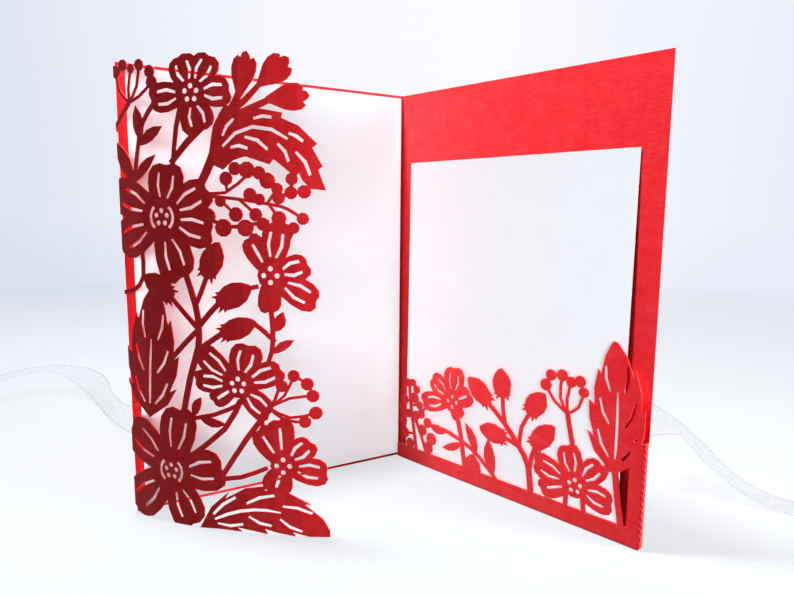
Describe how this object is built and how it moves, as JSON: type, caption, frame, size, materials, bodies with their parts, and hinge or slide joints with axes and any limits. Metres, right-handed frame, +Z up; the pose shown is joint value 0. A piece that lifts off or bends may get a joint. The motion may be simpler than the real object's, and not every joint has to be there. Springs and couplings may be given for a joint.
{
  "type": "laser-cut greeting card",
  "caption": "Folded greeting card standing open, with a curled laser-cut floral gate flap, a lace pocket holding a plain insert, a white liner and a sheer ribbon round the back.",
  "frame": {"origin": "foot of the spine fold, on the table", "axes": "+Z up along the spine; the card opens towards -Y; the flap's panel is on -X and the pocket's panel on +X"},
  "size_m": [0.4839, 0.2043, 0.178],
  "materials": {
    "red_card": "satin shimmer",
    "liner_paper": "matte",
    "insert_paper": "matte",
    "organza": "sheer"
  },
  "bodies": {
    "root": {"folded_card": "red_card", "liner_sheet": "liner_paper", "insert_card": "insert_paper", "ribbon": "organza"}
  },
  "joints": []
}
